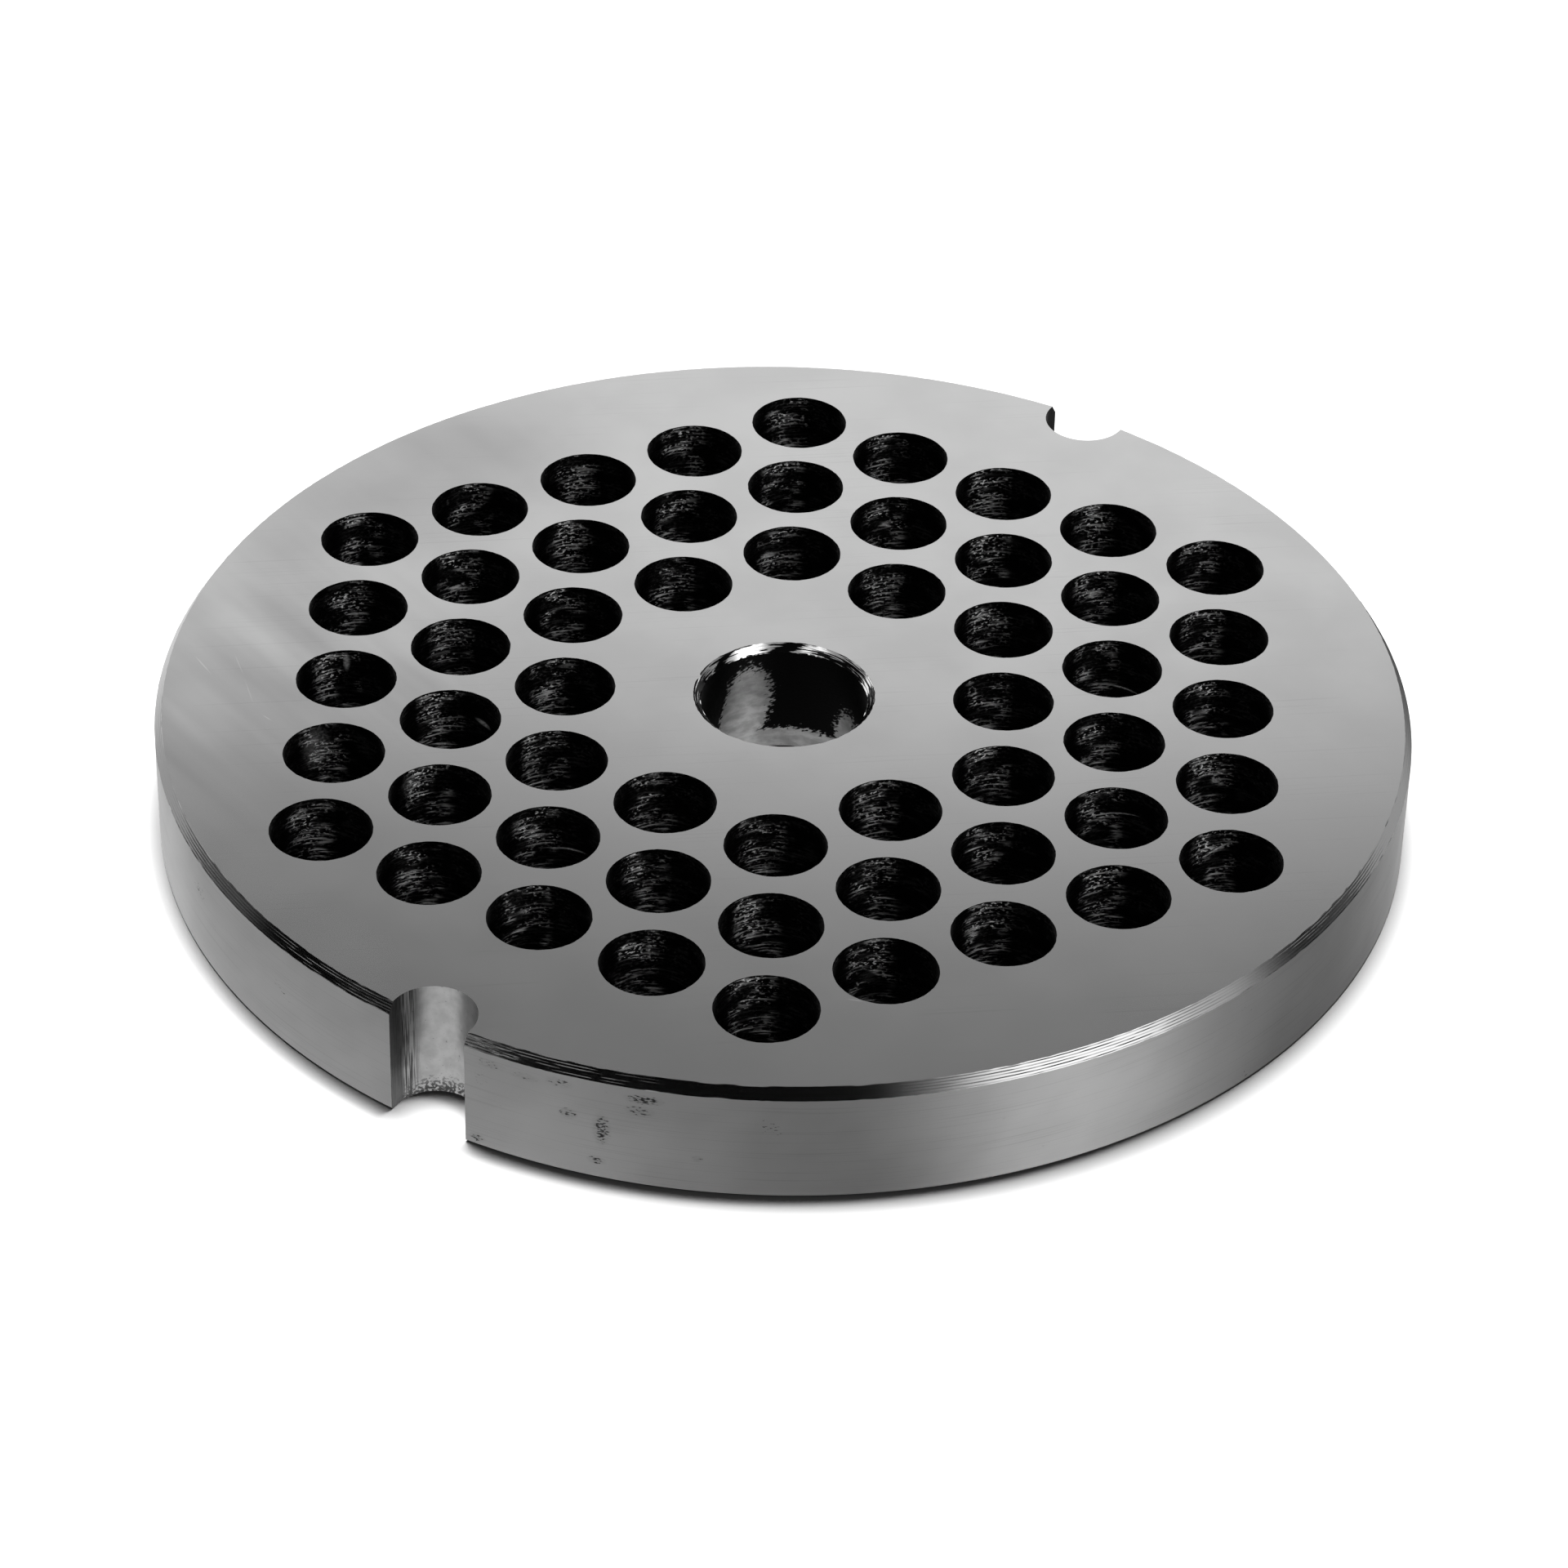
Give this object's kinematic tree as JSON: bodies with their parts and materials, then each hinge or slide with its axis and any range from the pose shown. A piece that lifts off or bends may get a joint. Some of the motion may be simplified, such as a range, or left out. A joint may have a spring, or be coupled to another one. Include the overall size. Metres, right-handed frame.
{
  "type": "meat grinder plate",
  "caption": "Round drilled steel plate for a meat grinder's mouth, with a central bore for the shaft stud and rim notches for the barrel's key.",
  "frame": {"origin": "centre of the plate's back face, on the bore's axis", "axes": "+Z along the bore's axis, from the back face up to the cutting face whose rim is chamfered; the two rim notches lie on +Y and -Y"},
  "size_m": [0.1, 0.0998, 0.01],
  "materials": {
    "ground_steel": "hardened tool steel, face ground and lapped, rim and bore turned, hole walls left dark from hardening"
  },
  "bodies": {
    "root": {"grinder_plate": "ground_steel"}
  },
  "joints": []
}
